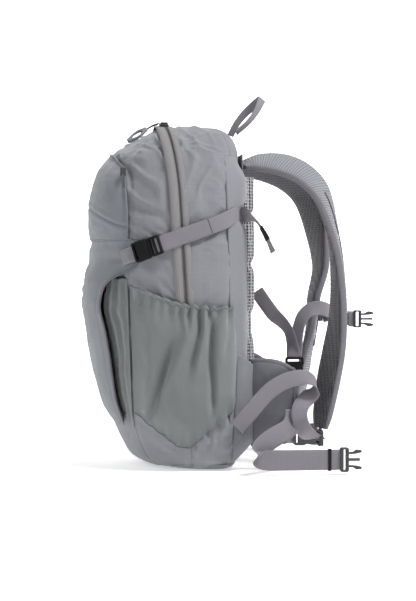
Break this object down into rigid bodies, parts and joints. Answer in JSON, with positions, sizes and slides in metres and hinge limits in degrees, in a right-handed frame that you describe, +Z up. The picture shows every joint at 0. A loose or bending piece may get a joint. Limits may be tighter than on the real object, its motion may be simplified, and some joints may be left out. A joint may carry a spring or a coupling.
{
  "type": "daypack",
  "caption": "Hiking daypack with zipped front-opening lid, stash flap, stretch side pockets, mesh back pads, shoulder harness and hip belt.",
  "frame": {"origin": "centre of the flat patch of the base that the pack stands on", "axes": "+Z up along the back, +X to the wearer's side (harness), -X the pack's front, -Y the pack's left side"},
  "size_m": [0.3638, 0.345, 0.4765],
  "materials": {
    "zip_metal": "satin",
    "pull_rubber": "matt",
    "zip_tape": "matt",
    "stretch_cloth": "matt",
    "base_cloth": "matt",
    "front_cloth": "matt",
    "main_cloth": "matt",
    "back_cloth": "matt",
    "spacer_mesh": "matt",
    "frame_plastic": "matt",
    "lining_cloth": "matt",
    "strap_cloth": "matt",
    "black_plastic": "satin",
    "grey_plastic": "satin",
    "webbing": "matt"
  },
  "bodies": {
    "pack": {"adjuster_anchor_left": "webbing", "adjuster_anchor_right": "webbing", "adjuster_webbing_left": "webbing", "adjuster_webbing_right": "webbing", "back_pad_lower": "spacer_mesh", "back_pad_middle": "spacer_mesh", "back_pad_upper": "spacer_mesh", "back_panel": "back_cloth", "base_panel": "base_cloth", "compression_socket_left": "black_plastic", "compression_socket_right": "black_plastic", "compression_webbing_left": "webbing", "compression_webbing_right": "webbing", "flap_tab_left": "webbing", "flap_tab_right": "webbing", "frame_sheet": "frame_plastic", "harness_yoke": "strap_cloth", "hydration_sleeve": "lining_cloth", "lower_front_panel": "main_cloth", "lumbar_pad": "spacer_mesh", "main_zip_lower_ends": "zip_tape", "main_zip_rear_tape": "zip_tape", "side_panel_left": "main_cloth", "side_panel_right": "main_cloth", "side_pocket_left": "stretch_cloth", "side_pocket_right": "stretch_cloth", "stash_flap": "front_cloth", "stash_gusset_left": "stretch_cloth", "stash_gusset_right": "stretch_cloth", "top_panel": "main_cloth"},
    "lid": {"lid_panel": "main_cloth", "main_zip_front_tape": "zip_tape", "top_pocket_panel": "front_cloth"},
    "zip_slider_left": {"main_zip_slider_left": "zip_metal"},
    "zip_pull_left": {"main_zip_pull_left": "pull_rubber"},
    "shoulder_strap_left": {"ladder_lock_left": "grey_plastic", "shoulder_pad_left": "strap_cloth", "sternum_rail_left": "webbing"},
    "sternum_keeper_left": {"sternum_slider_left": "grey_plastic"},
    "hip_belt_left": {"hip_plug": "grey_plastic", "hip_webbing_left": "webbing", "hip_wing_left": "strap_cloth"},
    "compression_buckle_left": {"compression_plug_left": "black_plastic"},
    "zip_slider_right": {"main_zip_slider_right": "zip_metal"},
    "zip_pull_right": {"main_zip_pull_right": "pull_rubber"},
    "shoulder_strap_right": {"ladder_lock_right": "grey_plastic", "shoulder_pad_right": "strap_cloth", "sternum_rail_right": "webbing"},
    "sternum_keeper_right": {"sternum_slider_right": "grey_plastic"},
    "hip_belt_right": {"hip_socket": "grey_plastic", "hip_webbing_right": "webbing", "hip_wing_right": "strap_cloth"},
    "compression_buckle_right": {"compression_plug_right": "black_plastic"},
    "sternum_strap_left": {"sternum_plug": "grey_plastic", "sternum_webbing_left": "webbing"},
    "sternum_strap_right": {"sternum_socket": "grey_plastic", "sternum_webbing_right": "webbing"},
    "pocket_zip": {"pocket_zip_pull": "zip_metal", "pocket_zip_slider": "zip_metal"},
    "haul": {"haul_loop": "webbing"}
  },
  "joints": [
    {"name": "lid_opening", "type": "hinge", "parent": "pack", "child": "lid", "pos_m": [-0.1365, 0, 0.287], "axis": [0, -1, 0], "range_deg": [0, 50]},
    {"name": "zip_run_left", "type": "slide", "parent": "lid", "child": "zip_slider_left", "axis": [0, -1, 0], "range_m": [0, 0.03]},
    {"name": "zip_pull_lift_left", "type": "hinge", "parent": "zip_slider_left", "child": "zip_pull_left", "pos_m": [-0.0515, -0.009, 0.4385], "axis": [0, 1, 0], "range_deg": [0, 60]},
    {"name": "shoulder_strap_swing_left", "type": "hinge", "parent": "pack", "child": "shoulder_strap_left", "pos_m": [0.0605, -0.044, 0.384], "axis": [0, -1, 0], "range_deg": [0, 12]},
    {"name": "sternum_height_left", "type": "slide", "parent": "shoulder_strap_left", "child": "sternum_keeper_left", "axis": [0, 0, 1], "range_m": [-0.008, 0.008]},
    {"name": "hip_wing_swing_left", "type": "hinge", "parent": "pack", "child": "hip_belt_left", "pos_m": [0.056, -0.098, 0.085], "axis": [0, 0, -1], "range_deg": [-20, 0]},
    {"name": "compression_buckle_release_left", "type": "slide", "parent": "pack", "child": "compression_buckle_left", "axis": [0.8399, -0.4402, 0.3176], "range_m": [0, 0.022]},
    {"name": "zip_run_right", "type": "slide", "parent": "lid", "child": "zip_slider_right", "axis": [0, 1, 0], "range_m": [0, 0.03]},
    {"name": "zip_pull_lift_right", "type": "hinge", "parent": "zip_slider_right", "child": "zip_pull_right", "pos_m": [-0.0515, 0.009, 0.4385], "axis": [0, 1, 0], "range_deg": [0, 60]},
    {"name": "shoulder_strap_swing_right", "type": "hinge", "parent": "pack", "child": "shoulder_strap_right", "pos_m": [0.0605, 0.044, 0.384], "axis": [0, -1, 0], "range_deg": [0, 12]},
    {"name": "sternum_height_right", "type": "slide", "parent": "shoulder_strap_right", "child": "sternum_keeper_right", "axis": [0, 0, 1], "range_m": [-0.008, 0.008]},
    {"name": "hip_wing_swing_right", "type": "hinge", "parent": "pack", "child": "hip_belt_right", "pos_m": [0.056, 0.098, 0.085], "axis": [0, 0, 1], "range_deg": [-20, 0]},
    {"name": "compression_buckle_release_right", "type": "slide", "parent": "pack", "child": "compression_buckle_right", "axis": [0.8399, 0.4402, 0.3176], "range_m": [0, 0.022]},
    {"name": "sternum_strap_swing_left", "type": "hinge", "parent": "sternum_keeper_left", "child": "sternum_strap_left", "pos_m": [0.1802, -0.0875, 0.188], "axis": [0, 0, 1], "range_deg": [-30, 30]},
    {"name": "sternum_strap_swing_right", "type": "hinge", "parent": "sternum_keeper_right", "child": "sternum_strap_right", "pos_m": [0.1802, 0.0875, 0.188], "axis": [0, 0, 1], "range_deg": [0, 30]},
    {"name": "pocket_zip_run", "type": "slide", "parent": "lid", "child": "pocket_zip", "axis": [0.0137, -0.4012, -0.9159], "range_m": [0, 0.02]},
    {"name": "haul_loop_swing", "type": "hinge", "parent": "pack", "child": "haul", "pos_m": [0.046, 0, 0.426], "axis": [0, 1, 0], "range_deg": [-20, 55], "stiffness_Nm_per_rad": 0.03}
  ]
}
